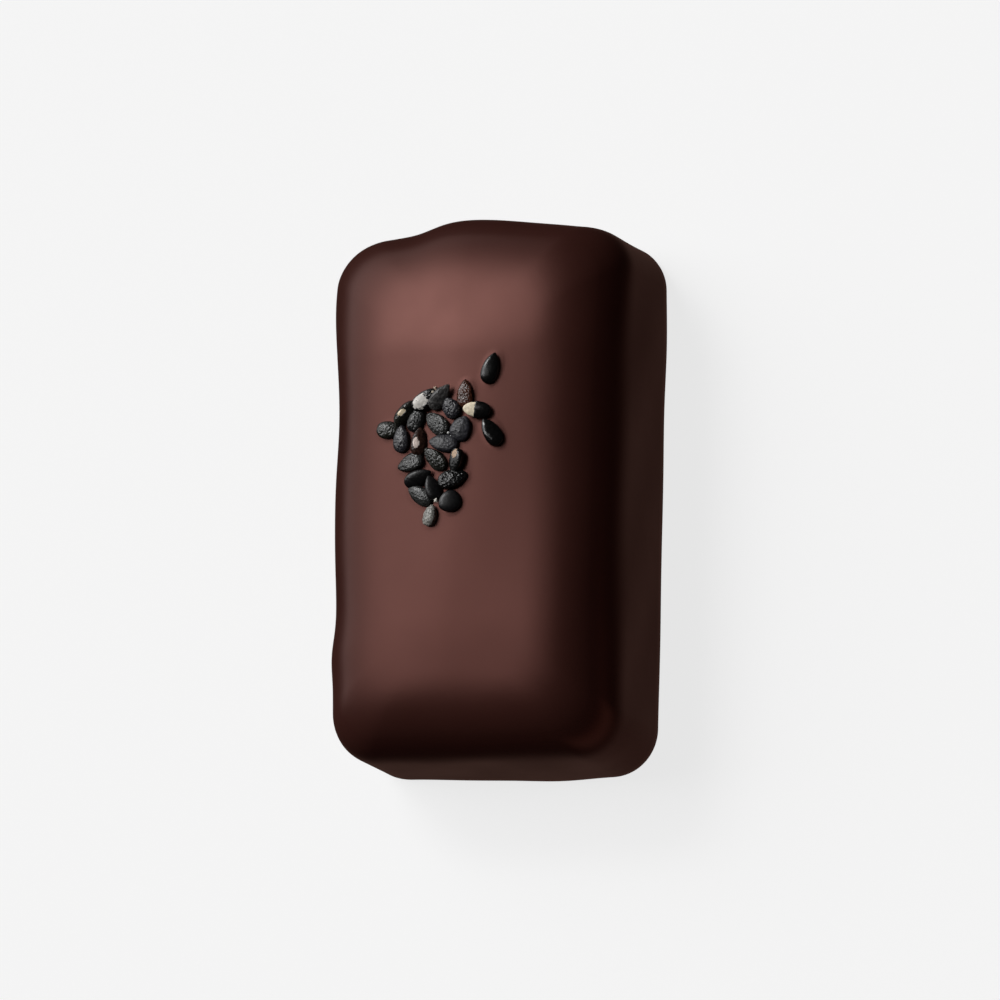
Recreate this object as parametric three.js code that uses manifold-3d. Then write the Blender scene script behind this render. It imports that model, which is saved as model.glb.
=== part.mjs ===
// A filled chocolate: a soft rectangular block under a coat of dark chocolate, with a loose patch of
// black sesame seeds set into its top. It is uncut, so it is one solid with nothing inside it.
// Millimetres. +X is the block's right, +Y its back, +Z up. It rests on its flat base at z = 0, and
// the origin is under the middle of its bounding box.
import * as THREE from "three";
import { mergeVertices } from "three/addons/utils/BufferGeometryUtils.js";
import Module from "manifold-3d";

// The coated block.
const LENGTH = 49.8;
const WIDTH = 28.5;
const HEIGHT = 17.5;
const TOP_ROUND = 8.1; // reach of the soft edge round the top face
const TOP_POWER = 3.2; // 2 would make that edge a plain quarter circle; more eases it into the flat
const BASE_ROUND = 1.4; // radius of the edge round the base
const CORNER = 4.3; // upright corners, seen from above, at the walls
const CORNER_TOP = 2.0; // the same corners where the top face begins
const LEAN = 0.03; // how far the walls lean in for each millimetre of height
const CROWN = 0.75; // how far the top face falls from its middle to the middle of a side
const REAR_FALL = 0.81; // how much further it falls towards the back,
const FRONT_FALL = 0.26; // the front
const FALL_START = 12.0; // between these distances from the middle,
const FALL_END = 22.0;
const LEFT_FALL = 0.33; // and the left, over this distance
const LEFT_REACH = 10.0;
const TWIST = 0.014; // how much it rises to the right for each millimetre,
const TWIST_AT = -6.7; // most at this y
const TWIST_REACH = 10.3;
const LIFT_START = 0.35; // between these shares of the height, the sides take up the top's rise and fall
const LIFT_END = 0.9;

// Shallow waves where the coat ran and set: a broad swell and a ripple on the top, and one down the
// sides and one down the ends. A turn is how far round a wave goes in a millimetre, in radians.
const SWELL = 0.07;
const SWELL_TURN_X = 0.343;
const SWELL_TURN_Y = 0.093;
const SWELL_START_X = 1.58;
const SWELL_START_Y = 1.05;
const RIPPLE = 0.03;
const RIPPLE_TURN_X = -0.4;
const RIPPLE_TURN_Y = 0.171;
const RIPPLE_START = 1.85;
const WALL_WAVE = 0.03;
const SIDE_TURN_Y = 0.35;
const SIDE_TURN_Z = 0.55;
const END_TURN_X = -0.45;
const END_TURN_Z = 0.5;
const END_START = 1.0;

// Swellings and hollows of the coat on the four walls. Each lies at a distance along its wall
// (x on the front and back, y on the left and right) and fades over its reach. Out is its height.
// On the back and left they are strongest high on the wall, and on the front and right near its foot.
const SWELLING_HIGH = 13.3;
const SWELLING_LOW = 2.0;
const SWELLING_RISE = 9.0; // how far up and down the wall one fades
const SWELLINGS = [
  { wall: "back", along: -2.0, reach: 9.5, out: 1.57 },
  { wall: "back", along: -6.4, reach: 2.35, out: -0.6 },
  { wall: "back", along: 10.2, reach: 2.2, out: -0.17 },
  { wall: "back", along: -10.0, reach: 3.0, out: -0.62 },
  { wall: "left", along: 0.0, reach: 40.0, out: 0.16 },
  { wall: "left", along: 19.1, reach: 5.7, out: 0.82 },
  { wall: "left", along: 6.5, reach: 4.5, out: -0.24 },
  { wall: "left", along: -11.4, reach: 4.8, out: -0.29 },
  { wall: "left", along: -14.7, reach: 2.2, out: 0.31 },
  { wall: "front", along: -11.4, reach: 5.7, out: -0.35 },
  { wall: "front", along: 5.0, reach: 4.0, out: 0.3 },
  { wall: "right", along: 15.0, reach: 5.0, out: 0.2 },
  { wall: "right", along: -19.1, reach: 7.2, out: -0.12 },
];

// Squares of the surface: across and along the top and base, and in rows down the sides.
const COLUMNS_ACROSS = 20;
const COLUMNS_ALONG = 34;
const TOP_ROUND_ROWS = 10;
const WALL_ROWS = 4;
const BASE_ROUND_ROWS = 3;
const CORNER_SHARE = 0.25; // share of the columns that goes into the upright corners

// The seeds. x and y are a seed's middle on the top face; heading turns its pointed end from +X
// towards +Y; taper is how quickly it narrows to that end, with 0 for an ellipse; pitch lifts that
// end; roll turns it about its long axis; lift is the height of its middle above the chocolate. Its
// width is the width half way along. Angles are in degrees.
const SEED_THICKNESS = 0.9;
const SEED_FLATNESS = 0.55; // 1 makes its two faces elliptical; less flattens them
const BLUNTNESS = 0.8; // 1 makes its blunt end elliptical; less makes it blunter
const SEED_SIDES = 8;
const SEED_ROWS = 6;
const SEEDS = [
  { x: 3.1, y: 10.35, heading: 74, length: 2.95, width: 1.58, taper: 0.25, pitch: 2, roll: 15, lift: 0.28 },
  { x: 0.7, y: 8.05, heading: 89, length: 2.7, width: 1.5, taper: 0.25, pitch: 3, roll: 0, lift: 0.24 },
  { x: -1.65, y: 7.9, heading: 50, length: 2.75, width: 1.5, taper: 0.25, pitch: 8, roll: 34, lift: 0.48 },
  { x: -0.58, y: 6.8, heading: 120, length: 2.05, width: 1.6, taper: 0.12, pitch: 6, roll: -4, lift: 0.38 },
  { x: -1.95, y: 5.45, heading: 138, length: 2.8, width: 1.7, taper: 0.2, pitch: -3, roll: -6, lift: 0.28 },
  { x: 0.43, y: 4.87, heading: 65, length: 2.4, width: 1.9, taper: 0.2, pitch: 6, roll: 6, lift: 0.3 },
  { x: -1.25, y: 3.6, heading: 172, length: 2.84, width: 1.66, taper: 0.2, pitch: 6, roll: 6, lift: 0.28 },
  { x: -4.0, y: 6.0, heading: 68, length: 2.5, width: 1.5, taper: 0.2, pitch: 5, roll: 4, lift: 0.3 },
  { x: -6.75, y: 5.2, heading: -1, length: 2.4, width: 1.6, taper: 0.16, pitch: 0, roll: -1, lift: 0.28 },
  { x: -5.5, y: 4.3, heading: 89, length: 2.6, width: 1.5, taper: 0.25, pitch: 4, roll: -2, lift: 0.28 },
  { x: -3.0, y: 7.75, heading: 35, length: 3.0, width: 1.5, taper: 0.2, pitch: 0, roll: 14, lift: 0.62 },
  { x: -5.15, y: 6.65, heading: 52, length: 2.8, width: 1.35, taper: 0.2, pitch: 5, roll: 42, lift: 0.46 },
  { x: -3.7, y: 3.85, heading: 85, length: 2.7, width: 1.45, taper: 0.2, pitch: 3, roll: 32, lift: 0.34 },
  { x: -4.5, y: 1.95, heading: -160, length: 2.6, width: 1.66, taper: 0.22, pitch: 0, roll: 9, lift: 0.34 },
  { x: -2.05, y: 2.2, heading: 136, length: 2.75, width: 1.5, taper: 0.22, pitch: 6, roll: -14, lift: 0.3 },
  { x: 0.05, y: 1.8, heading: -103, length: 2.4, width: 1.42, taper: 0.2, pitch: -6, roll: 24, lift: 0.42 },
  { x: -0.25, y: 0.25, heading: 18, length: 2.8, width: 1.7, taper: 0.18, pitch: -9, roll: -3, lift: 0.34 },
  { x: -3.65, y: 0.5, heading: 23, length: 2.75, width: 1.5, taper: 0.25, pitch: 4, roll: 28, lift: 0.46 },
  { x: -3.5, y: -1.05, heading: 145, length: 2.75, width: 1.55, taper: 0.22, pitch: 2, roll: -8, lift: 0.26 },
  { x: -2.2, y: -0.5, heading: 109, length: 2.4, width: 1.45, taper: 0.25, pitch: 9, roll: 28, lift: 0.44 },
  { x: -0.52, y: -1.85, heading: -150, length: 2.15, width: 1.95, taper: 0.12, pitch: 15, roll: -9, lift: 0.36 },
  { x: -2.42, y: -3.0, heading: 74, length: 2.05, width: 1.2, taper: 0.22, pitch: 8, roll: -8, lift: 0.34 },
  { x: 1.92, y: 6.5, heading: 172, length: 2.75, width: 1.6, taper: 0.02, pitch: 10, roll: -8, lift: 0.5 },
  { x: 3.35, y: 4.4, heading: 122, length: 2.9, width: 1.6, taper: 0.25, pitch: 9, roll: 18, lift: 0.38 },
];

// 0 below low, 1 above high, and smooth between them.
function fade(value, low, high) {
  return THREE.MathUtils.smoothstep(value, low, high);
}

// 1 at no distance, falling off like a bell over the reach.
function bell(distance, reach) {
  return Math.exp(-((distance / reach) ** 2));
}

// One side of a rounded rectangle: its straight run and half of the corner at each end. t runs from
// -1 to 1 along it. Returns the distance out from the centre line and the distance along the side.
function sidePoint(halfAcross, halfAlong, corner, t) {
  const straightShare = 1 - CORNER_SHARE;
  const run = Math.abs(t);
  if (run <= straightShare) {
    return [halfAcross, (t / straightShare) * (halfAlong - corner)];
  }
  const turn = ((run - straightShare) / CORNER_SHARE) * (Math.PI / 4);
  const out = halfAcross - corner + corner * Math.cos(turn);
  const along = halfAlong - corner + corner * Math.sin(turn);
  return [out, Math.sign(t) * along];
}

// The point of a rounded rectangle that answers to a point (u, v) on the rim of the square -1 to 1.
function outlinePoint(u, v, halfWidth, halfLength, corner) {
  if (Math.abs(u) >= Math.abs(v)) {
    const [out, along] = sidePoint(halfWidth, halfLength, corner, v);
    return [Math.sign(u) * out, along];
  }
  const [out, along] = sidePoint(halfLength, halfWidth, corner, u);
  return [along, Math.sign(v) * out];
}

// The soft edge of the top, out^TOP_POWER + up^TOP_POWER = 1, from up = 1 at share 0 to out = 1 at
// share 1. Its two halves meet where out and up are alike.
function softEdge(share) {
  const halfway = 0.5 ** (1 / TOP_POWER);
  const near = 2 * halfway * Math.min(share, 1 - share);
  const far = (1 - near ** TOP_POWER) ** (1 / TOP_POWER);
  return share <= 0.5 ? [near, far] : [far, near];
}

// How far the block's outline is drawn in, and its height, for w from 1 at the top face to -1 at the
// base: round the top edge, down the wall, and round the base edge.
function profile(w) {
  const rows = TOP_ROUND_ROWS + WALL_ROWS + BASE_ROUND_ROWS;
  const row = ((1 - w) / 2) * rows;
  const shoulder = HEIGHT - TOP_ROUND;
  if (row <= TOP_ROUND_ROWS) {
    const [out, up] = softEdge(row / TOP_ROUND_ROWS);
    return [TOP_ROUND * (1 - out), shoulder + TOP_ROUND * up];
  }
  if (row <= TOP_ROUND_ROWS + WALL_ROWS) {
    const share = (row - TOP_ROUND_ROWS) / WALL_ROWS;
    return [0, THREE.MathUtils.lerp(shoulder, BASE_ROUND, share)];
  }
  const turn = (Math.PI / 2) * ((row - TOP_ROUND_ROWS - WALL_ROWS) / BASE_ROUND_ROWS);
  return [BASE_ROUND * (1 - Math.cos(turn)), BASE_ROUND * (1 - Math.sin(turn))];
}

// How far the top face stands above HEIGHT: it is crowned and slightly twisted, with shallow waves,
// and falls a little further at the back, the front and the left.
function topLift(x, y) {
  const crown = -CROWN * ((x / (WIDTH / 2)) ** 2 + (y / (LENGTH / 2)) ** 2);
  const swell = Math.sin(SWELL_TURN_X * x + SWELL_START_X) * Math.sin(SWELL_TURN_Y * y + SWELL_START_Y);
  const ripple = Math.sin(RIPPLE_TURN_X * x + RIPPLE_TURN_Y * y + RIPPLE_START);
  const twist = TWIST * x * bell(y - TWIST_AT, TWIST_REACH);
  const rear = REAR_FALL * fade(y, FALL_START, FALL_END);
  const front = FRONT_FALL * fade(-y, FALL_START, FALL_END);
  const left = LEFT_FALL * fade(-x, 0, LEFT_REACH);
  return crown + SWELL * swell + RIPPLE * ripple + twist - rear - front - left;
}

// Moves a point of the plain block to where the uneven coat lies.
function settle(x, y, z) {
  const right = Math.abs(x) / (WIDTH / 2);
  const back = Math.abs(y) / (LENGTH / 2);
  let dx = Math.sign(x) * WALL_WAVE * Math.sin(SIDE_TURN_Z * z + SIDE_TURN_Y * y) * right ** 2;
  const endTurn = END_TURN_Z * z + END_TURN_X * x + END_START;
  let dy = Math.sign(y) * WALL_WAVE * Math.sin(endTurn) * back ** 4;
  for (const { wall, along, reach, out } of SWELLINGS) {
    const side = wall === "right" || wall === "back" ? 1 : -1;
    const level = wall === "left" || wall === "back" ? SWELLING_HIGH : SWELLING_LOW;
    const strength = side * out * bell(z - level, SWELLING_RISE);
    if (wall === "left" || wall === "right") {
      dx += Math.sign(x) === side ? strength * right ** 2 * bell(y - along, reach) : 0;
    } else {
      dy += Math.sign(y) === side ? strength * back ** 4 * bell(x - along, reach) : 0;
    }
  }
  const height = z + topLift(x + dx, y + dy) * fade(z, LIFT_START * HEIGHT, LIFT_END * HEIGHT);
  return [x + dx, y + dy, height];
}

// A box of squares whose every vertex is moved to its place on the coated block.
function blockGeometry() {
  const rows = TOP_ROUND_ROWS + WALL_ROWS + BASE_ROUND_ROWS;
  const geometry = new THREE.BoxGeometry(2, 2, 2, COLUMNS_ACROSS, COLUMNS_ALONG, rows);
  const position = geometry.getAttribute("position");
  for (let i = 0; i < position.count; i++) {
    const u = position.getX(i);
    const v = position.getY(i);
    const reach = Math.max(Math.abs(u), Math.abs(v)); // 1 on the walls, less on the top and base
    const [inset, z] = profile(position.getZ(i));
    const corner = THREE.MathUtils.lerp(CORNER, CORNER_TOP, inset / TOP_ROUND);
    const halfWidth = WIDTH / 2 - LEAN * z - inset;
    const halfLength = LENGTH / 2 - LEAN * z - inset;
    const [x, y] = reach > 0 ? outlinePoint(u / reach, v / reach, halfWidth, halfLength, corner) : [0, 0];
    position.setXYZ(i, ...settle(x * reach, y * reach, z));
  }
  return geometry;
}

// A number raised to a power, with its sign kept.
function signedPower(value, power) {
  return Math.sign(value) * Math.abs(value) ** power;
}

// One seed, flat and drop-shaped, in its place on the top face.
function seedGeometry({ x, y, heading, length, width, taper, pitch, roll, lift }) {
  const geometry = new THREE.SphereGeometry(1, SEED_SIDES, SEED_ROWS);
  geometry.rotateZ(-Math.PI / 2); // the poles go to the seed's two ends
  const position = geometry.getAttribute("position");
  for (let i = 0; i < position.count; i++) {
    const reach = position.getX(i);
    const girth = Math.max(0, 1 - reach) ** taper;
    const along = signedPower(reach, reach < 0 ? BLUNTNESS : 1);
    const across = position.getY(i) * girth;
    const up = signedPower(position.getZ(i), SEED_FLATNESS) * girth;
    position.setXYZ(i, (along * length) / 2, (across * width) / 2, (up * SEED_THICKNESS) / 2);
  }
  const turn = new THREE.Euler(
    THREE.MathUtils.degToRad(roll),
    THREE.MathUtils.degToRad(-pitch),
    THREE.MathUtils.degToRad(heading),
    "ZYX",
  );
  const place = new THREE.Vector3(x, y, HEIGHT + topLift(x, y) + lift);
  const size = new THREE.Vector3(1, 1, 1);
  return geometry.applyMatrix4(
    new THREE.Matrix4().compose(place, new THREE.Quaternion().setFromEuler(turn), size),
  );
}

const wasm = await Module();
wasm.setup();

// A closed geometry as a solid that can be joined.
function solidFrom(geometry) {
  geometry.deleteAttribute("normal");
  geometry.deleteAttribute("uv");
  const merged = mergeVertices(geometry, 1e-5);
  const mesh = new wasm.Mesh({
    numProp: 3,
    vertProperties: new Float32Array(merged.getAttribute("position").array),
    triVerts: new Uint32Array(merged.index.array),
  });
  return new wasm.Manifold(mesh);
}

// The solid's triangles as a geometry.
function geometryFrom(solid) {
  const mesh = solid.getMesh();
  const geometry = new THREE.BufferGeometry();
  geometry.setAttribute("position", new THREE.BufferAttribute(mesh.vertProperties, 3));
  geometry.setIndex(new THREE.BufferAttribute(mesh.triVerts, 1));
  geometry.computeVertexNormals();
  return geometry;
}

// The block with the seeds joined to it, moved so that the origin is under the middle of its box.
function chocolateGeometry() {
  let solid = solidFrom(blockGeometry());
  for (const seed of SEEDS) {
    solid = solid.add(solidFrom(seedGeometry(seed)));
  }
  const geometry = geometryFrom(solid);
  geometry.computeBoundingBox();
  const box = geometry.boundingBox;
  const middle = box.getCenter(new THREE.Vector3());
  return geometry.translate(-middle.x, -middle.y, -box.min.z);
}

const chocolateMaterial = new THREE.MeshStandardMaterial({
  color: new THREE.Color().setRGB(0.3, 0.18, 0.155, THREE.SRGBColorSpace),
  roughness: 0.42,
  metalness: 0,
});

const chocolate = new THREE.Mesh(chocolateGeometry(), chocolateMaterial);
chocolate.name = "chocolate";

const filledChocolate = new THREE.Group();
filledChocolate.add(chocolate);

export default filledChocolate;
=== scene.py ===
"""A filled chocolate: a soft rectangular block under a satin dark coat, with a loose patch of black
sesame seeds set into its top.

The sizes and the shape of the block are the part's own, in millimetres, and each mesh is made in
metres. +X is the block's right, +Y its back and +Z up, and it rests on its base at z = 0.
"""

import math
from collections import namedtuple

import bpy
import numpy as np
from mathutils import Euler, Matrix, Vector, noise

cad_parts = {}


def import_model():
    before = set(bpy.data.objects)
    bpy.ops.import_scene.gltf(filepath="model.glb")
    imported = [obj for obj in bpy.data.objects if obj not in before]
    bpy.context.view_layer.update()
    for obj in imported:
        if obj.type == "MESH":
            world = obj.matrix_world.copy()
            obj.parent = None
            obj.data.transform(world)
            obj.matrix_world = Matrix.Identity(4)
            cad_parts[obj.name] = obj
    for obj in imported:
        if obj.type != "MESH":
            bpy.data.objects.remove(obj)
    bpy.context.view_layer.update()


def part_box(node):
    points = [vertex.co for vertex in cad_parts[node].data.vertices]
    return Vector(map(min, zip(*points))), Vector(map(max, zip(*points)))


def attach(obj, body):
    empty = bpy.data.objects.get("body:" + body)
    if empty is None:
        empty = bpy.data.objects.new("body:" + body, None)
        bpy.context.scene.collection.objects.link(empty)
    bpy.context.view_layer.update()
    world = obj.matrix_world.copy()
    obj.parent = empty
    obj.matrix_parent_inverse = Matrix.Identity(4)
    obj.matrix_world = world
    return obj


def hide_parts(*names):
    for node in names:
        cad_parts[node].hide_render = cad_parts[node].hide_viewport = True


MM = 0.001
NODE = "chocolate"

# The coated block.
LENGTH = 49.8
WIDTH = 28.5
HEIGHT = 17.5
TOP_ROUND = 8.1  # reach of the soft edge round the top face
TOP_POWER = 3.2  # 2 would make that edge a plain quarter circle; more eases it into the flat
BASE_ROUND = 1.4  # radius of the edge round the base
CORNER = 4.3  # upright corners, seen from above, at the walls
CORNER_TOP = 2.0  # the same corners where the top face begins
LEAN = 0.03  # how far the walls lean in for each millimetre of height
CROWN = 0.75  # how far the top face falls from its middle to the middle of a side
REAR_FALL = 0.81  # how much further it falls towards the back,
FRONT_FALL = 0.26  # the front
FALL_START = 12.0  # between these distances from the middle,
FALL_END = 22.0
LEFT_FALL = 0.33  # and the left, over this distance
LEFT_REACH = 10.0
TWIST = 0.014  # how much it rises to the right for each millimetre,
TWIST_AT = -6.7  # most at this y
TWIST_REACH = 10.3
LIFT_START = 0.35  # between these shares of the height, the sides take up the top's rise and fall
LIFT_END = 0.9

# Shallow waves where the coat ran and set: a broad swell and a ripple on the top, and one down the
# sides and one down the ends. A turn is how far round a wave goes in a millimetre, in radians.
SWELL = 0.07
SWELL_TURN_X = 0.343
SWELL_TURN_Y = 0.093
SWELL_START_X = 1.58
SWELL_START_Y = 1.05
RIPPLE = 0.03
RIPPLE_TURN_X = -0.4
RIPPLE_TURN_Y = 0.171
RIPPLE_START = 1.85
WALL_WAVE = 0.03
SIDE_TURN_Y = 0.35
SIDE_TURN_Z = 0.55
END_TURN_X = -0.45
END_TURN_Z = 0.5
END_START = 1.0

# Swellings and hollows of the coat on the walls, strongest at a level of their own.
SWELLING_HIGH = 13.3
SWELLING_LOW = 2.0
SWELLING_RISE = 9.0  # how far up and down the wall one fades
Swelling = namedtuple("Swelling", "wall along reach out")
SWELLINGS = [
    Swelling("back", -2.0, 9.5, 1.57),
    Swelling("back", -6.4, 2.35, -0.6),
    Swelling("back", 10.2, 2.2, -0.17),
    Swelling("back", -10.0, 3.0, -0.62),
    Swelling("left", 0.0, 40.0, 0.16),
    Swelling("left", 19.1, 5.7, 0.82),
    Swelling("left", 6.5, 4.5, -0.24),
    Swelling("left", -11.4, 4.8, -0.29),
    Swelling("left", -14.7, 2.2, 0.31),
    Swelling("front", -11.4, 5.7, -0.35),
    Swelling("front", 5.0, 4.0, 0.3),
    Swelling("right", 15.0, 5.0, 0.2),
    Swelling("right", -19.1, 7.2, -0.12),
]

# Squares of the coat's mesh, fine enough for the rims of chocolate round the seeds.
COLUMNS_ACROSS = 110
COLUMNS_ALONG = 230
TOP_ROUND_UPPER_ROWS = 44
TOP_ROUND_LOWER_ROWS = 14
WALL_ROWS = 10
BASE_ROUND_ROWS = 6
CORNER_SHARE = 0.25  # share of the columns that goes into the upright corners
TINY = 1e-9  # keeps the middle of the grid from being divided by 0

# The chocolate that crept up round each seed that touches it as the coat set.
RIM_HEIGHT = 0.025
RIM_REACH = 0.24
RIM_SEED_LIFT = 0.4  # a seed that lies higher than this has no rim
SEED_MIDDLE = 0.1  # share of a seed's half size that counts as its middle

# The seeds. x and y are a seed's middle on the top face; heading turns its pointed end from +X
# towards +Y; width is the width half way along; taper is how quickly it narrows to its pointed end,
# with 0 for an ellipse; pitch lifts that end; roll turns it about its long axis; lift is the height
# of its middle above the chocolate. Relief is how deeply its skin is pitted. Angles are in degrees.
SEED_THICKNESS = 0.9
SEED_FLATNESS = 0.55  # 1 makes its two faces elliptical; less flattens them
BLUNTNESS = 0.8  # 1 makes its blunt end elliptical; less makes it blunter
SEED_SIDES = 72
SEED_ROWS = 55
Seed = namedtuple("Seed", "name x y heading length width taper pitch roll lift skin relief")
SEEDS = [
    Seed("A", 3.1, 10.35, 74, 2.95, 1.58, 0.25, 2, 15, 0.28, "jet", 0.12),
    Seed("B", 0.7, 8.05, 89, 2.7, 1.5, 0.25, 3, 0, 0.24, "brown", 0.9),
    Seed("C", -1.65, 7.9, 50, 2.75, 1.5, 0.25, 8, 34, 0.48, "dusty", 0.9),
    Seed("D", -0.58, 6.8, 120, 2.05, 1.6, 0.12, 6, -4, 0.38, "violet", 1.2),
    Seed("E", -1.95, 5.45, 138, 2.8, 1.7, 0.2, -3, -6, 0.28, "grey", 1.4),
    Seed("F", 0.43, 4.87, 65, 2.4, 1.9, 0.2, 6, 6, 0.3, "slate", 0.6),
    Seed("G", -1.25, 3.6, 172, 2.84, 1.66, 0.2, 6, 6, 0.28, "slate", 0.5),
    Seed("H", -4.0, 6.0, 68, 2.5, 1.5, 0.2, 5, 4, 0.3, "black", 0.7),
    Seed("I", -6.75, 5.2, -1, 2.4, 1.6, 0.16, 0, -1, 0.28, "olive", 0.6),
    Seed("J", -5.5, 4.3, 89, 2.6, 1.5, 0.25, 4, -2, 0.28, "violet", 0.75),
    Seed("K", -3.0, 7.75, 35, 3.0, 1.5, 0.2, 0, 14, 0.62, "jet", 0.6),
    Seed("L", -5.15, 6.65, 52, 2.8, 1.35, 0.2, 5, 42, 0.46, "olive", 0.5),
    Seed("M", -3.7, 3.85, 85, 2.7, 1.45, 0.2, 3, 32, 0.34, "umber", 0.6),
    Seed("N", -4.5, 1.95, -160, 2.6, 1.66, 0.22, 0, 9, 0.34, "grey", 0.95),
    Seed("O", -2.05, 2.2, 136, 2.75, 1.5, 0.22, 6, -14, 0.3, "olive", 1.4),
    Seed("P", 0.05, 1.8, -103, 2.4, 1.42, 0.2, -6, 24, 0.42, "jet", 0.4),
    Seed("Q", -0.25, 0.25, 18, 2.8, 1.7, 0.18, -9, -3, 0.34, "jet", 1.2),
    Seed("R", -3.65, 0.5, 23, 2.75, 1.5, 0.25, 4, 28, 0.46, "matte", 0.25),
    Seed("S", -3.5, -1.05, 145, 2.75, 1.55, 0.22, 2, -8, 0.26, "grey", 0.5),
    Seed("T", -2.2, -0.5, 109, 2.4, 1.45, 0.25, 9, 28, 0.44, "matte", 0.2),
    Seed("U", -0.52, -1.85, -150, 2.15, 1.95, 0.12, 15, -9, 0.36, "matte", 0.12),
    Seed("V", -2.42, -3.0, 74, 2.05, 1.2, 0.22, 8, -8, 0.34, "ash", 0.9),
    Seed("W", 1.92, 6.5, 172, 2.75, 1.6, 0.02, 10, -8, 0.5, "jet", 0.12),
    Seed("X", 3.35, 4.4, 122, 2.9, 1.6, 0.25, 9, 18, 0.38, "wet", 0.12),
]

# Colours are linear. A skin's roughness is that of the shader.
Skin = namedtuple("Skin", "colour roughness")
SKINS = {
    "jet": Skin((0.004, 0.004, 0.004), 0.22),
    "wet": Skin((0.004, 0.004, 0.004), 0.14),
    "matte": Skin((0.005, 0.0045, 0.005), 0.35),
    "black": Skin((0.009, 0.009, 0.009), 0.24),
    "grey": Skin((0.022, 0.022, 0.021), 0.26),
    "dusty": Skin((0.06, 0.057, 0.056), 0.36),
    "ash": Skin((0.22, 0.212, 0.193), 0.26),
    "slate": Skin((0.016, 0.0155, 0.02), 0.4),
    "violet": Skin((0.02, 0.019, 0.023), 0.26),
    "olive": Skin((0.015, 0.015, 0.012), 0.24),
    "brown": Skin((0.055, 0.018, 0.01), 0.22),
    "umber": Skin((0.03, 0.013, 0.009), 0.3),
}
CHOCOLATE = (0.0425, 0.0134, 0.0104)
CHOCOLATE_SHEEN = (1.0, 0.44, 0.37)  # tint of its reflections

# The relief of a seed's skin: pits and softer folds, with their depths at relief 1.
SKIN_PIT = 0.2  # size of a pit
SKIN_FOLD = 0.5  # size of a fold
PIT_DEPTH = 0.05
FOLD_DEPTH = 0.04
# Painted shade: the skin's colour is painted darker in its pits and paler on the ridges between
# them, to go with its relief.
PIT_PAINTED_SHADE = 1.6  # how much darker the skin is in its pits than between them
PAINTED_SHADE_LIMITS = (0.2, 2.0)  # the darkest and the palest that this makes it
PATTERN_STEP = (7.1, 5.3, 0.37)  # by x, y and heading, so that no two seeds have the same pits

# Where a seed's black skin has come off. Along runs from -1 at the blunt end to 1 at the tip, and
# around is the angle about the long axis, 90 on top. Reach is the half size in each, ragged is how
# unevenly the skin is torn, and depth is how far the kernel lies under it.
Bare = namedtuple("Bare", "seed along around along_reach around_reach ragged depth colour")
BARE = [
    Bare("W", 1.0, 90, 0.91, 400, 0.06, 0.12, (1.0, 0.87, 0.64)),
    Bare("K", -0.34, 80, 0.47, 60, 0.55, 0.06, (0.86, 0.82, 0.76)),
    Bare("M", -0.02, 52, 0.32, 29, 0.3, 0.05, (1.0, 0.84, 0.76)),
    Bare("L", -0.02, 42, 0.26, 28, 0.3, 0.06, (1.0, 0.84, 0.6)),
    Bare("P", -0.6, 96, 0.42, 34, 0.3, 0.05, (0.52, 0.36, 0.24)),
]
SKIN_UNDER = 0.12  # how far the skin's surface is sunk under a bare kernel's
TEAR_TURNS = (3, 8)  # how fine the large and the small tears of its edge are
TEAR_START = 0.94  # the skin's edge lies between these shares of a patch's reach
TEAR_END = 1.02

# Crumbs of kernel that lie between the seeds. Size is across, and lift as for a seed.
Crumb = namedtuple("Crumb", "x y size lift colour")
CRUMB_SIDES = 20
CRUMB_ROWS = 14
CRUMB_RELIEF = 0.9
CRUMB_TURNS = 1.6  # how fine its lumps are
CRUMB_STEP = 9  # so that no two have the same lumps
CRUMBS = [
    Crumb(-1.78, -1.7, 0.36, 0.55, (0.8, 0.76, 0.68)),
    Crumb(-0.72, 4.48, 0.26, 0.44, (0.6, 0.6, 0.58)),
    Crumb(-0.46, 4.24, 0.22, 0.44, (0.6, 0.6, 0.58)),
    Crumb(-2.0, 8.65, 0.3, 0.85, (0.6, 0.44, 0.33)),
    Crumb(-2.25, 8.3, 0.2, 0.9, (0.7, 0.62, 0.5)),
]

# The finishes. A pattern's scale is in waves to the metre, and more detail adds finer waves. A
# shade is what a colour is multiplied by where its pattern is lowest and highest. A bump is a depth
# in metres and a strength.
Pattern = namedtuple("Pattern", "scale detail")
CHOCOLATE_CLOUDS = Pattern(90, 3)
CHOCOLATE_SHADE = (0.88, 1.12)
CHOCOLATE_GLOSS = Pattern(260, 4)
CHOCOLATE_ROUGHNESS = (0.31, 0.39)
CHOCOLATE_GRAIN = Pattern(1600, 5)
CHOCOLATE_BUMP = (0.00002, 0.2)
SKIN_SPECKS = Pattern(7000, 4)
SKIN_SHADE = (0.3, 1.7)
SKIN_UNEVENNESS = (0.7, 1.3)  # what its roughness is multiplied by, in the same way
SKIN_WRINKLES = Pattern(4400, 1)
SKIN_BUMP = (0.0001, 1.0)
KERNEL_CLOUDS = Pattern(3500, 3)
KERNEL_SHADE = (0.6, 1.3)
KERNEL_ROUGHNESS = 0.24
KERNEL_BUMP = (0.0001, 1.0)

# The camera. The middle of the block's height is drawn at CENTRE_X, CENTRE_Y.
IMAGE_SIZE = 1000
CENTRE_X = 487.9
CENTRE_Y = 495.6
PIXELS_PER_MM = 10.9
CAMERA_AZIMUTH = 60.4
CAMERA_ELEVATION = 67.5
CAMERA_ROLL = -61.2
CAMERA_DISTANCE = 600
CAMERA_NEAR = 10  # it sees from this distance
CAMERA_FAR = 10000  # to this
SENSOR_WIDTH = 36

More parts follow.
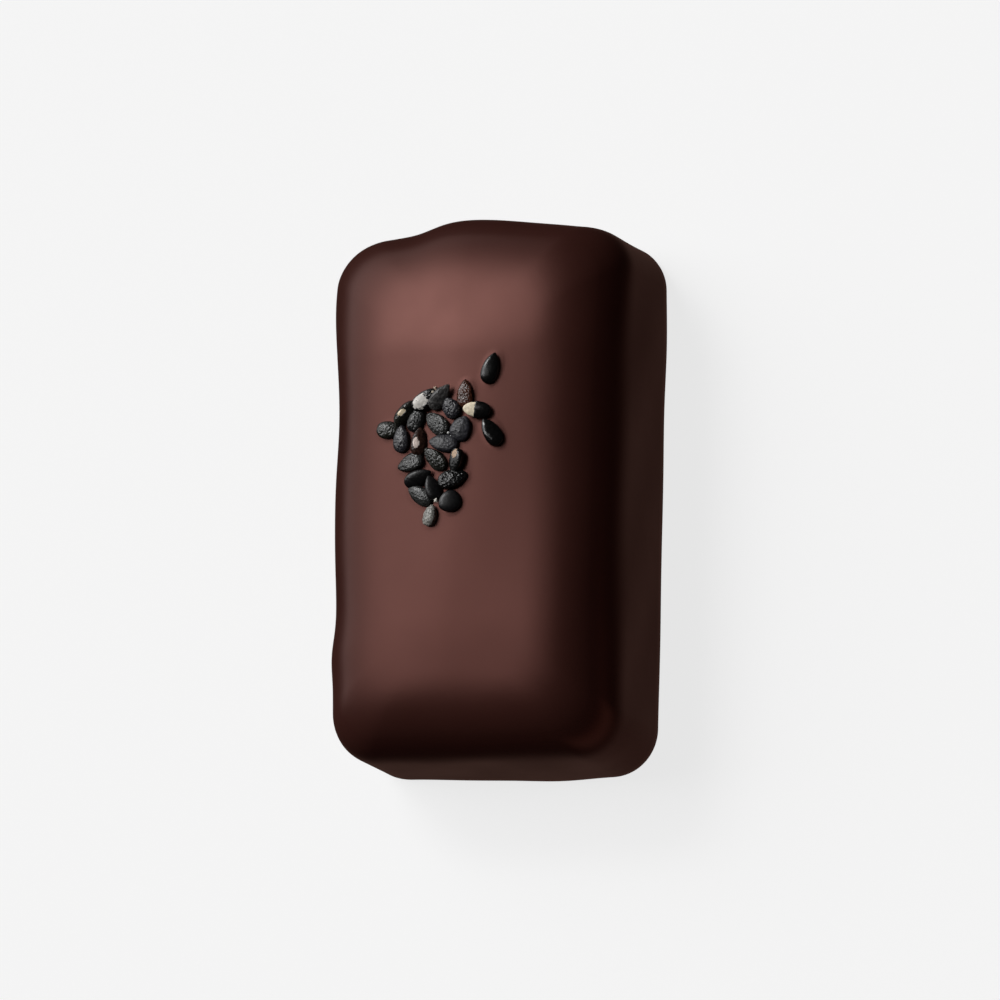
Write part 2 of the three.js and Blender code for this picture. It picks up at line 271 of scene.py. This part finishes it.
# The light of the studio, by direction: X, Y and Z run from -1 to 1. A big soft box stands to the
# back left, and its light is a product of fades in X and Y. A fade is given by where it starts and
# ends and, in some, by what it leaves beyond. Two oval lamps shine through the softbox, and a warm
# glow comes from below.
SOFTBOX = 5.2
SOFTBOX_RIGHT = (-0.293, -0.3)
SOFTBOX_LEFT = (-0.1, -0.905, 0.275)
SOFTBOX_FRONT = (-0.025, -0.024)
SOFTBOX_BACK = (0.565, 0.794, 0.26)
HORIZON = (-0.05, 0.1)
FILL_ABOVE = 0.01  # light from everywhere above the horizon
FILL_BELOW = 0.02
GLOW = 0.18  # the glow straight below
GLOW_START = -0.65
GLOW_COLOUR = (1.0, 0.55, 0.44)
FRONT_LIGHT = 0.34  # a soft light low to the front right, with fades in X less Y and in Z
FRONT_LIGHT_SIDES = (0.75, 1.15)
FRONT_LIGHT_TOP = (0.05, -0.1)
FRONT_LIGHT_FOOT = (-0.4, -0.65)
LAMP_DISTANCE = 2.0
Lamp = namedtuple("Lamp", "name direction across along power")
LAMPS = [
    Lamp("back_lamp", (-0.39, 0.487, 0.782), 0.864, 0.398, 8.2),
    Lamp("left_lamp", (-0.36, 0.085, 0.929), 2.09, 0.398, 3.2),
]
BACKDROP = (0.95, 0.95, 0.95)  # what the camera sees round the floor

# The floor.
FLOOR_HALF = 1500
FLOOR_GAP = 0.02  # how far it lies under the base, so that the two faces don't mix
FLOOR_COLOUR = (0.2, 0.2, 0.2)
FLOOR_ROUGHNESS = 0.9
FLOOR_LIGHT = 0.78  # its own light, which makes it pale and its shadow faint


# ---- the shape of the block, as in the part's source ----


def fade(value, low, high):
    """0 below low, 1 above high, and smooth between them."""
    share = np.clip((value - low) / (high - low), 0, 1)
    return share * share * (3 - 2 * share)


def bell(distance, reach):
    """1 at no distance, falling off like a bell over the reach."""
    return np.exp(-((distance / reach) ** 2))


def side_point(half_across, half_along, corner, t):
    """A side of a rounded rectangle with half of each corner: the distances out and along at t."""
    straight_share = 1 - CORNER_SHARE
    run = np.abs(t)
    turn = np.maximum(run - straight_share, 0) / CORNER_SHARE * (math.pi / 4)
    on_straight = run <= straight_share
    out = np.where(on_straight, half_across, half_across - corner + corner * np.cos(turn))
    straight = t / straight_share * (half_along - corner)
    bend = np.sign(t) * (half_along - corner + corner * np.sin(turn))
    return out, np.where(on_straight, straight, bend)


def outline_point(u, v, half_width, half_length, corner):
    """The point of a rounded rectangle that answers to (u, v) on the rim of the square -1 to 1."""
    out_x, along_y = side_point(half_width, half_length, corner, v)
    out_y, along_x = side_point(half_length, half_width, corner, u)
    on_side = np.abs(u) >= np.abs(v)
    x = np.where(on_side, np.sign(u) * out_x, along_x)
    y = np.where(on_side, along_y, np.sign(v) * out_y)
    return x, y


def profile():
    """How far each row's outline is drawn in, and its height, from the top face to the base."""
    shoulder = HEIGHT - TOP_ROUND
    halfway = 0.5 ** (1 / TOP_POWER)
    out = np.linspace(0, halfway, TOP_ROUND_UPPER_ROWS + 1)
    down = np.linspace(halfway, 0, TOP_ROUND_LOWER_ROWS + 1)[1:]
    out = np.concatenate([out, (1 - down**TOP_POWER) ** (1 / TOP_POWER)])
    up = (1 - out**TOP_POWER).clip(0) ** (1 / TOP_POWER)
    up[-TOP_ROUND_LOWER_ROWS:] = down
    wall = np.linspace(shoulder, BASE_ROUND, WALL_ROWS + 1)[1:-1]
    turn = np.linspace(0, math.pi / 2, BASE_ROUND_ROWS + 1)
    inset = np.concatenate(
        [TOP_ROUND * (1 - out), np.zeros(len(wall)), BASE_ROUND * (1 - np.cos(turn))]
    )
    z = np.concatenate([shoulder + TOP_ROUND * up, wall, BASE_ROUND * (1 - np.sin(turn))])
    return inset, z


def top_lift(x, y):
    """How far the top face stands above HEIGHT: it is crowned and slightly twisted, with waves."""
    crown = -CROWN * ((x / (WIDTH / 2)) ** 2 + (y / (LENGTH / 2)) ** 2)
    swell = np.sin(SWELL_TURN_X * x + SWELL_START_X) * np.sin(SWELL_TURN_Y * y + SWELL_START_Y)
    ripple = np.sin(RIPPLE_TURN_X * x + RIPPLE_TURN_Y * y + RIPPLE_START)
    twist = TWIST * x * bell(y - TWIST_AT, TWIST_REACH)
    rear = REAR_FALL * fade(y, FALL_START, FALL_END)
    front = FRONT_FALL * fade(-y, FALL_START, FALL_END)
    left = LEFT_FALL * fade(-x, 0, LEFT_REACH)
    return crown + SWELL * swell + RIPPLE * ripple + twist - rear - front - left


def settle(x, y, z):
    """Moves points of the plain block to where the uneven coat lies."""
    right = np.abs(x) / (WIDTH / 2)
    back = np.abs(y) / (LENGTH / 2)
    dx = np.sign(x) * WALL_WAVE * np.sin(SIDE_TURN_Z * z + SIDE_TURN_Y * y) * right**2
    end_turn = END_TURN_Z * z + END_TURN_X * x + END_START
    dy = np.sign(y) * WALL_WAVE * np.sin(end_turn) * back**4
    for wall, along, reach, out in SWELLINGS:
        side = 1 if wall in ("right", "back") else -1
        level = SWELLING_HIGH if wall in ("left", "back") else SWELLING_LOW
        strength = side * out * bell(z - level, SWELLING_RISE)
        if wall in ("left", "right"):
            dx += np.where(np.sign(x) == side, strength * right**2 * bell(y - along, reach), 0)
        else:
            dy += np.where(np.sign(y) == side, strength * back**4 * bell(x - along, reach), 0)
    height = z + top_lift(x + dx, y + dy) * fade(z, LIFT_START * HEIGHT, LIFT_END * HEIGHT)
    return np.stack([x + dx, y + dy, height], axis=-1)


def block_points(u, v, inset, z):
    """The coat's points for (u, v) in the square -1 to 1, at each inset and height."""
    corner = CORNER + (CORNER_TOP - CORNER) * inset / TOP_ROUND
    half_width = WIDTH / 2 - LEAN * z - inset
    half_length = LENGTH / 2 - LEAN * z - inset
    reach = np.maximum(np.abs(u), np.abs(v))
    rim = np.maximum(reach, TINY)
    x, y = outline_point(u / rim, v / rim, half_width, half_length, corner)
    return settle(x * reach, y * reach, z)


# ---- meshes ----


def make_piece(name, points, faces, material):
    """A smooth mesh object from points in millimetres."""
    mesh = bpy.data.meshes.new(name)
    mesh.from_pydata((np.asarray(points) * MM).tolist(), [], faces)
    mesh.polygons.foreach_set("use_smooth", [True] * len(mesh.polygons))
    mesh.materials.append(material)
    piece = bpy.data.objects.new(name, mesh)
    bpy.context.scene.collection.objects.link(piece)
    return piece


def rims_of_chocolate(points):
    """How far the coat rises round the seeds that touch it, at points of the block."""
    rise = np.zeros(len(points))
    for seed in SEEDS:
        if seed.lift > RIM_SEED_LIFT:
            continue
        angle = math.radians(seed.heading)
        east = points[:, 0] - seed.x
        north = points[:, 1] - seed.y
        along = (east * math.cos(angle) + north * math.sin(angle)) / (seed.length / 2)
        across = (north * math.cos(angle) - east * math.sin(angle)) / (seed.width / 2)
        reach = np.maximum(np.hypot(along, across), SEED_MIDDLE)
        slope = np.hypot(along / (seed.length / 2), across / (seed.width / 2)) / reach
        gap = (reach - 1) / slope
        rise = np.maximum(rise, RIM_HEIGHT * bell(np.maximum(gap, 0), RIM_REACH))
    return rise * (points[:, 2] > HEIGHT - TOP_ROUND / 2)


def grid_lines():
    """Where the coat's columns lie in the square -1 to 1, across it and along it."""
    return np.linspace(-1, 1, COLUMNS_ACROSS + 1), np.linspace(-1, 1, COLUMNS_ALONG + 1)


def coat(material, centre):
    """The whole dark coat: a grid over the top face, rings down the sides, and a flat base."""
    us, vs = grid_lines()
    insets, heights = profile()
    grid_u, grid_v = (a.ravel() for a in np.meshgrid(us, vs, indexing="ij"))
    top = block_points(grid_u, grid_v, insets[0], heights[0])

    # The rim of the square, once round, from its corner at -1, -1.
    index = np.arange(len(grid_u)).reshape(COLUMNS_ACROSS + 1, COLUMNS_ALONG + 1)
    rim = np.concatenate([index[:-1, 0], index[-1, :-1], index[:0:-1, -1], index[0, :0:-1]])
    rings = [
        block_points(grid_u[rim], grid_v[rim], inset, z)
        for inset, z in zip(insets[1:], heights[1:])
    ]
    points = np.concatenate([top, *rings])
    points[:, 2] += rims_of_chocolate(points)
    points -= centre

    squares = np.stack(
        [index[:-1, :-1], index[1:, :-1], index[1:, 1:], index[:-1, 1:]], axis=-1
    ).reshape(-1, 4)
    faces = squares.tolist()
    count = len(rim)
    upper = rim
    for row in range(len(rings)):
        lower = len(top) + row * count + np.arange(count)
        band = np.stack([upper, lower, np.roll(lower, -1), np.roll(upper, -1)], axis=-1)
        faces += band.tolist()
        upper = lower
    faces.append(upper[::-1].tolist())
    return make_piece("dark_coat", points, faces, material)


def block_centre():
    """How far the middle of the block alone lies from the middle of the part's box."""
    us, vs = grid_lines()
    edge = np.concatenate(
        [np.stack([us, np.full_like(us, side)], 1) for side in (-1, 1)]
        + [np.stack([np.full_like(vs, side), vs], 1) for side in (-1, 1)]
    )
    walls = np.concatenate([block_points(*edge.T, inset, z) for inset, z in zip(*profile())])
    own_middle = (walls.min(0) + walls.max(0)) / 2
    low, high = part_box(NODE)
    part_middle = np.array((low + high) / 2) / MM
    return (own_middle - part_middle) * (1, 1, 0)


def ball_mesh(sides, rows):
    """A unit ball with its poles on X: the points and the faces."""
    points = [(-1.0, 0.0, 0.0)]
    for row in range(1, rows):
        turn = math.pi * row / rows
        for side in range(sides):
            around = 2 * math.pi * side / sides
            ring = math.sin(turn)
            points.append((-math.cos(turn), ring * math.cos(around), ring * math.sin(around)))
    points.append((1.0, 0.0, 0.0))
    faces = []
    last = len(points) - 1
    last_ring = 1 + (rows - 2) * sides
    for side in range(sides):
        following = (side + 1) % sides
        faces.append((0, 1 + following, 1 + side))
        faces.append((last, last_ring + side, last_ring + following))
        for row in range(rows - 2):
            a = 1 + row * sides
            b = a + sides
            faces.append((a + side, a + following, b + following, b + side))
    return np.array(points), faces


def moved_on(faces, count):
    """The same faces with their points a count further on in the list."""
    return [tuple(count + point for point in face) for face in faces]


def seed_place(seed, centre):
    """The matrix that puts a seed's own millimetres in their place on the block."""
    turn = Euler([math.radians(a) for a in (seed.roll, -seed.pitch, seed.heading)], "XYZ")
    height = HEIGHT + float(top_lift(seed.x, seed.y)) + seed.lift
    place = Vector((seed.x, seed.y, height)) - Vector(centre)
    return np.array(Matrix.Translation(place) @ turn.to_matrix().to_4x4())


def bare_share(patch, ball):
    """1 where a seed's skin is off, 0 where it is on, with a ragged edge between."""
    around = np.degrees(np.arctan2(ball[:, 2], ball[:, 1]))
    turn = (around - patch.around + 180) % 360 - 180
    reach = np.hypot((ball[:, 0] - patch.along) / patch.along_reach, turn / patch.around_reach)
    shift = Vector((ord(patch.seed), 0, 0))
    tears = [sum(noise.noise(Vector(p) * turns + shift) for turns in TEAR_TURNS) for p in ball]
    return 1 - fade(reach + patch.ragged * np.array(tears), TEAR_START, TEAR_END)


def skin_pattern(seed, points):
    """A seed's pits, from -0.5 in their middle to 0.5 between them, and its folds, round 0."""
    place = (seed.x, seed.y, seed.heading)
    shift = Vector([value * step for value, step in zip(place, PATTERN_STEP)])
    pits = []
    folds = []
    for point in points:
        here = Vector(point) + shift
        pits.append(noise.voronoi(here / SKIN_PIT)[0][0] - 0.5)
        folds.append(noise.noise(here / SKIN_FOLD))
    return np.array(pits), np.array(folds)


def seed_points(seed, ball, swell):
    """A seed's surface in its own millimetres, flat and drop-shaped, with the pits of its skin."""
    girth = np.maximum(1 - ball[:, 0], 0) ** seed.taper
    half = np.array([seed.length, seed.width, SEED_THICKNESS]) / 2
    flat = ball.copy()
    flat[:, 0] = np.where(ball[:, 0] < 0, -(np.abs(ball[:, 0]) ** BLUNTNESS), ball[:, 0])
    flat[:, 2] = np.sign(ball[:, 2]) * np.abs(ball[:, 2]) ** SEED_FLATNESS
    points = flat * half
    points[:, 1:] *= girth[:, None]
    out = ball / half
    out /= np.linalg.norm(out, axis=1)[:, None]
    pits, folds = skin_pattern(seed, points)
    relief = seed.relief * (PIT_DEPTH * pits + FOLD_DEPTH * folds)
    return points + out * (swell + relief)[:, None], pits


def placed(points, matrix):
    """Points moved by a 4 by 4 matrix."""
    return points @ matrix[:3, :3].T + matrix[:3, 3]


def add_colours(piece, colours):
    """Stores a colour for each point of a piece."""
    attribute = piece.data.color_attributes.new("tone", "FLOAT_COLOR", "POINT")
    attribute.data.foreach_set("color", np.concatenate(colours).ravel())


def add_roughness(piece, values):
    """Stores a roughness for each point of a piece."""
    attribute = piece.data.attributes.new("roughness", "FLOAT", "POINT")
    attribute.data.foreach_set("value", np.concatenate(values))


def skin_colours(seed, pits):
    """The skin's colour at each point, with painted shade in its pits and painted light on the
    ridges between them. Alpha is how wrinkled it is.
    """
    # Painted shade and light: darker in the pits, paler between them.
    shade = np.clip(1 + PIT_PAINTED_SHADE * pits, *PAINTED_SHADE_LIMITS)
    colours = np.outer(shade, (*SKINS[seed.skin].colour, 1.0))
    colours[:, 3] = min(seed.relief, 1)
    return colours


def seeds(material, kernel_material, centre):
    """All the seeds' skins as one piece, and the kernels that show through them as another."""
    ball, ball_faces = ball_mesh(SEED_SIDES, SEED_ROWS)
    skins, skin_faces, skin_tones, roughness = [], [], [], []
    kernels, kernel_faces, kernel_tones = [], [], []
    patches = {patch.seed: patch for patch in BARE}
    for seed in SEEDS:
        matrix = seed_place(seed, centre)
        sunk = np.zeros(len(ball))
        patch = patches.get(seed.name)
        if patch:
            sunk = (patch.depth + SKIN_UNDER) * bare_share(patch, ball)
            kernel, _ = seed_points(seed, ball, -patch.depth)
            kernel_faces += moved_on(ball_faces, len(kernels) * len(ball))
            kernels.append(placed(kernel, matrix))
            kernel_tones.append(np.tile((*patch.colour, 1.0), (len(ball), 1)))
        skin, pits = seed_points(seed, ball, -sunk)
        skin_faces += moved_on(ball_faces, len(skins) * len(ball))
        skins.append(placed(skin, matrix))
        skin_tones.append(skin_colours(seed, pits))
        roughness.append(np.full(len(ball), SKINS[seed.skin].roughness))
    all_skins = np.concatenate(skins)
    skin_piece = make_piece("black_sesame_seeds", all_skins, skin_faces, material)
    add_colours(skin_piece, skin_tones)
    add_roughness(skin_piece, roughness)
    all_kernels = np.concatenate(kernels)
    kernel_piece = make_piece("bare_kernels", all_kernels, kernel_faces, kernel_material)
    add_colours(kernel_piece, kernel_tones)
    return skin_piece, kernel_piece


def crumbs(material, centre):
    """The loose crumbs as one piece, each a lump with an uneven surface."""
    ball, ball_faces = ball_mesh(CRUMB_SIDES, CRUMB_ROWS)
    points, faces, colours = [], [], []
    for crumb in CRUMBS:
        shift = Vector((crumb.x, crumb.y, crumb.size)) * CRUMB_STEP
        bumps = np.array([noise.noise(Vector(p) * CRUMB_TURNS + shift) for p in ball])
        height = HEIGHT + float(top_lift(crumb.x, crumb.y)) + crumb.lift
        lump = ball * (1 + CRUMB_RELIEF * bumps)[:, None] * crumb.size / 2
        faces += moved_on(ball_faces, len(points) * len(ball))
        points.append(lump + (crumb.x, crumb.y, height) - centre)
        colours.append(np.tile((*crumb.colour, 1.0), (len(ball), 1)))
    piece = make_piece("kernel_crumbs", np.concatenate(points), faces, material)
    add_colours(piece, colours)
    return piece


# ---- shader nodes and materials ----


def new_material(name):
    """A material with nodes: the material, its tree's nodes and links, and its shader."""
    material = bpy.data.materials.new(name)
    material.use_nodes = True
    nodes = material.node_tree.nodes
    return material, nodes, material.node_tree.links, nodes["Principled BSDF"]


def noise_value(nodes, links, coordinates, pattern):
    """A noise pattern in the object's own coordinates, from 0 to 1."""
    texture = nodes.new("ShaderNodeTexNoise")
    texture.inputs["Scale"].default_value = pattern.scale
    texture.inputs["Detail"].default_value = pattern.detail
    links.new(coordinates.outputs["Object"], texture.inputs["Vector"])
    return texture.outputs["Fac"]


def stored(nodes, name):
    """What a piece stores at each point under a name."""
    attribute = nodes.new("ShaderNodeAttribute")
    attribute.attribute_name = name
    return attribute.outputs


def ranged(nodes, links, value, low, high):
    """A value between 0 and 1 stretched to run from low to high."""
    stretch = nodes.new("ShaderNodeMapRange")
    stretch.inputs["To Min"].default_value = low
    stretch.inputs["To Max"].default_value = high
    links.new(value, stretch.inputs["Value"])
    return stretch.outputs["Result"]


def shaded(nodes, links, colour, value, low, high):
    """A colour made darker and lighter by a value: times low where it is 0, high where it is 1."""
    shade = nodes.new("ShaderNodeMix")
    shade.data_type = "RGBA"
    shade.blend_type = "MULTIPLY"
    shade.clamp_factor = False
    shade.inputs["Factor"].default_value = 1.0
    if isinstance(colour, tuple):
        shade.inputs["A"].default_value = (*colour, 1)
    else:
        links.new(colour, shade.inputs["A"])
    links.new(ranged(nodes, links, value, low, high), shade.inputs["B"])
    return shade.outputs["Result"]


def add_bump(nodes, links, shader, height, distance, strength):
    """Bump from a height between 0 and 1, with its depth in metres."""
    bump = nodes.new("ShaderNodeBump")
    bump.inputs["Distance"].default_value = distance
    bump.inputs["Strength"].default_value = strength
    links.new(height, bump.inputs["Height"])
    links.new(bump.outputs["Normal"], shader.inputs["Normal"])


def fade_node(nodes, links, value, start, end, low, high):
    """A smooth change of a value from low at start to high at end."""
    stretch = nodes.new("ShaderNodeMapRange")
    stretch.interpolation_type = "SMOOTHSTEP"
    stretch.inputs["From Min"].default_value = start
    stretch.inputs["From Max"].default_value = end
    stretch.inputs["To Min"].default_value = low
    stretch.inputs["To Max"].default_value = high
    links.new(value, stretch.inputs["Value"])
    return stretch.outputs["Result"]


def combined(nodes, links, operation, first, second):
    """Two values combined by a math operation."""
    step = nodes.new("ShaderNodeMath")
    step.operation = operation
    links.new(first, step.inputs[0])
    links.new(second, step.inputs[1])
    return step.outputs["Value"]


def blend_node(nodes, links, mode, factor, first, second):
    """Two colours or lights mixed, multiplied or added."""
    mix = nodes.new("ShaderNodeMix")
    mix.data_type = "RGBA"
    mix.blend_type = mode
    for name, value in (("Factor", factor), ("A", first), ("B", second)):
        if isinstance(value, (float, tuple)):
            mix.inputs[name].default_value = value
        else:
            links.new(value, mix.inputs[name])
    return mix.outputs["Result"]


def chocolate_material():
    """Tempered dark chocolate: satin, faintly uneven in colour and gloss."""
    material, nodes, links, shader = new_material("dark_chocolate")
    coordinates = nodes.new("ShaderNodeTexCoord")
    clouds = noise_value(nodes, links, coordinates, CHOCOLATE_CLOUDS)
    colour = shaded(nodes, links, CHOCOLATE, clouds, *CHOCOLATE_SHADE)
    links.new(colour, shader.inputs["Base Color"])
    gloss = noise_value(nodes, links, coordinates, CHOCOLATE_GLOSS)
    roughness = ranged(nodes, links, gloss, *CHOCOLATE_ROUGHNESS)
    links.new(roughness, shader.inputs["Roughness"])
    shader.inputs["Specular Tint"].default_value = (*CHOCOLATE_SHEEN, 1)
    grain = noise_value(nodes, links, coordinates, CHOCOLATE_GRAIN)
    add_bump(nodes, links, shader, grain, *CHOCOLATE_BUMP)
    return material


def skin_material():
    """Black sesame skin: each seed has a tone and a gloss of its own, and is smooth or wrinkled."""
    material, nodes, links, shader = new_material("black_sesame")
    coordinates = nodes.new("ShaderNodeTexCoord")
    tone = stored(nodes, "tone")
    specks = noise_value(nodes, links, coordinates, SKIN_SPECKS)
    colour = shaded(nodes, links, tone["Color"], specks, *SKIN_SHADE)
    links.new(colour, shader.inputs["Base Color"])
    unevenness = ranged(nodes, links, specks, *SKIN_UNEVENNESS)
    own_roughness = stored(nodes, "roughness")["Fac"]
    roughness = combined(nodes, links, "MULTIPLY", own_roughness, unevenness)
    links.new(roughness, shader.inputs["Roughness"])
    wrinkles = noise_value(nodes, links, coordinates, SKIN_WRINKLES)
    grain = combined(nodes, links, "MULTIPLY", wrinkles, tone["Alpha"])
    add_bump(nodes, links, shader, grain, *SKIN_BUMP)
    return material


def kernel_material():
    """The pale kernel under a seed's skin."""
    material, nodes, links, shader = new_material("sesame_kernel")
    coordinates = nodes.new("ShaderNodeTexCoord")
    clouds = noise_value(nodes, links, coordinates, KERNEL_CLOUDS)
    colour = shaded(nodes, links, stored(nodes, "tone")["Color"], clouds, *KERNEL_SHADE)
    links.new(colour, shader.inputs["Base Color"])
    shader.inputs["Roughness"].default_value = KERNEL_ROUGHNESS
    add_bump(nodes, links, shader, clouds, *KERNEL_BUMP)
    return material


# ---- the stage ----


def view_axes():
    """The camera's right, up and back directions."""
    azimuth = math.radians(CAMERA_AZIMUTH)
    elevation = math.radians(CAMERA_ELEVATION)
    roll = math.radians(CAMERA_ROLL)
    flat = math.cos(elevation)
    back = Vector((math.sin(azimuth) * flat, -math.cos(azimuth) * flat, math.sin(elevation)))
    level = Vector((0, 0, 1)).cross(back).normalized()
    rise = back.cross(level)
    right = level * math.cos(roll) + rise * math.sin(roll)
    up = rise * math.cos(roll) - level * math.sin(roll)
    return right, up, back


def camera():
    """The photograph's view, from steeply above the block's front right corner."""
    right, up, back = view_axes()
    middle = Vector((0, 0, HEIGHT / 2))
    across = (IMAGE_SIZE / 2 - CENTRE_X) / PIXELS_PER_MM
    down = (IMAGE_SIZE / 2 - CENTRE_Y) / PIXELS_PER_MM
    aim = middle + right * across - up * down
    data = bpy.data.cameras.new("camera")
    data.sensor_width = SENSOR_WIDTH
    data.lens = SENSOR_WIDTH * CAMERA_DISTANCE * PIXELS_PER_MM / IMAGE_SIZE
    data.clip_start = CAMERA_NEAR * MM
    data.clip_end = CAMERA_FAR * MM
    viewer = bpy.data.objects.new("camera", data)
    turn = Matrix((right, up, back)).transposed().to_4x4()
    viewer.matrix_world = Matrix.Translation((aim + back * CAMERA_DISTANCE) * MM) @ turn
    bpy.context.scene.collection.objects.link(viewer)
    bpy.context.scene.camera = viewer


def light_above(nodes, links, x, y, z):
    """The softbox and a faint light from everywhere above the horizon."""
    light = fade_node(nodes, links, x, *SOFTBOX_RIGHT, 0, SOFTBOX)
    edges = (
        (x, SOFTBOX_LEFT[0], SOFTBOX_LEFT[1], 1, SOFTBOX_LEFT[2]),
        (y, SOFTBOX_FRONT[0], SOFTBOX_FRONT[1], 0, 1),
        (y, SOFTBOX_BACK[0], SOFTBOX_BACK[1], 1, SOFTBOX_BACK[2]),
        (z, HORIZON[0], HORIZON[1], 0, 1),
    )
    for edge in edges:
        light = combined(nodes, links, "MULTIPLY", light, fade_node(nodes, links, *edge))
    fill = fade_node(nodes, links, z, *HORIZON, 0, FILL_ABOVE)
    return combined(nodes, links, "ADD", light, fill)


def light_below(nodes, links, x, y, z):
    """The glow from below and the soft light low to the front right, before they are tinted."""
    fill = fade_node(nodes, links, z, *HORIZON, FILL_BELOW, 0)
    glow = fade_node(nodes, links, z, GLOW_START, -1.0, 0, GLOW - FILL_BELOW)
    below = combined(nodes, links, "ADD", fill, glow)
    front_right = combined(nodes, links, "SUBTRACT", x, y)
    forward = fade_node(nodes, links, front_right, *FRONT_LIGHT_SIDES, 0, FRONT_LIGHT)
    for edge in ((*FRONT_LIGHT_TOP, 0, 1), (*FRONT_LIGHT_FOOT, 1, 0)):
        forward = combined(nodes, links, "MULTIPLY", forward, fade_node(nodes, links, z, *edge))
    return combined(nodes, links, "ADD", below, forward)


def world():
    """The studio's light, and a pale backdrop that only the camera sees."""
    made = bpy.data.worlds.new("studio")
    made.use_nodes = True
    nodes = made.node_tree.nodes
    links = made.node_tree.links
    direction = nodes.new("ShaderNodeTexCoord")
    parts = nodes.new("ShaderNodeSeparateXYZ")
    links.new(direction.outputs["Generated"], parts.inputs["Vector"])
    x, y, z = (parts.outputs[axis] for axis in "XYZ")
    above = light_above(nodes, links, x, y, z)
    below = light_below(nodes, links, x, y, z)
    glow = blend_node(nodes, links, "MULTIPLY", 1.0, below, (*GLOW_COLOUR, 1))
    light = blend_node(nodes, links, "ADD", 1.0, above, glow)
    seen = nodes.new("ShaderNodeLightPath").outputs["Is Camera Ray"]
    shown = blend_node(nodes, links, "MIX", seen, light, (*BACKDROP, 1))
    links.new(shown, nodes["Background"].inputs["Color"])
    bpy.context.scene.world = made


def lamps():
    """The oval lamps, each turned towards the block, with its long side across."""
    for name, direction, across, along, power in LAMPS:
        data = bpy.data.lights.new(name, "AREA")
        data.shape = "ELLIPSE"
        data.size = across
        data.size_y = along
        data.energy = power
        light = bpy.data.objects.new(name, data)
        way = Vector(direction).normalized()
        rise = way.cross((1, 0, 0)).normalized()
        turn = Matrix((rise.cross(way), rise, way)).transposed().to_4x4()
        light.matrix_world = Matrix.Translation(way * LAMP_DISTANCE) @ turn
        bpy.context.scene.collection.objects.link(light)


def floor():
    """A pale floor that catches the shadow and throws no light back, and is clear from below."""
    half = FLOOR_HALF
    low = -FLOOR_GAP
    corners = [(-half, -half, low), (half, -half, low), (half, half, low), (-half, half, low)]
    material, nodes, links, shader = new_material("floor")
    shader.inputs["Base Color"].default_value = (*FLOOR_COLOUR, 1)
    shader.inputs["Roughness"].default_value = FLOOR_ROUGHNESS
    shader.inputs["Specular IOR Level"].default_value = 0
    shader.inputs["Emission Color"].default_value = (1, 1, 1, 1)
    shader.inputs["Emission Strength"].default_value = FLOOR_LIGHT
    side = nodes.new("ShaderNodeNewGeometry")
    clear = nodes.new("ShaderNodeBsdfTransparent")
    either = nodes.new("ShaderNodeMixShader")
    links.new(side.outputs["Backfacing"], either.inputs["Fac"])
    links.new(shader.outputs["BSDF"], either.inputs[1])
    links.new(clear.outputs["BSDF"], either.inputs[2])
    links.new(either.outputs["Shader"], nodes["Material Output"].inputs["Surface"])
    ground = make_piece("floor", corners, [(0, 1, 2, 3)], material)
    ground.visible_diffuse = False
    ground.visible_glossy = False


def dress(piece):
    """Puts a piece on the part's one body, in place of its solid."""
    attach(piece, "root")
    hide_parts(NODE)


def main():
    """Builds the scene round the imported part."""
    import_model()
    bpy.context.scene.view_settings.view_transform = "Standard"
    centre = block_centre()
    camera()
    lamps()
    world()
    floor()
    dress(coat(chocolate_material(), centre))
    skins, kernels = seeds(skin_material(), kernel_material(), centre)
    dress(skins)
    dress(kernels)
    dress(crumbs(kernels.active_material, centre))


main()
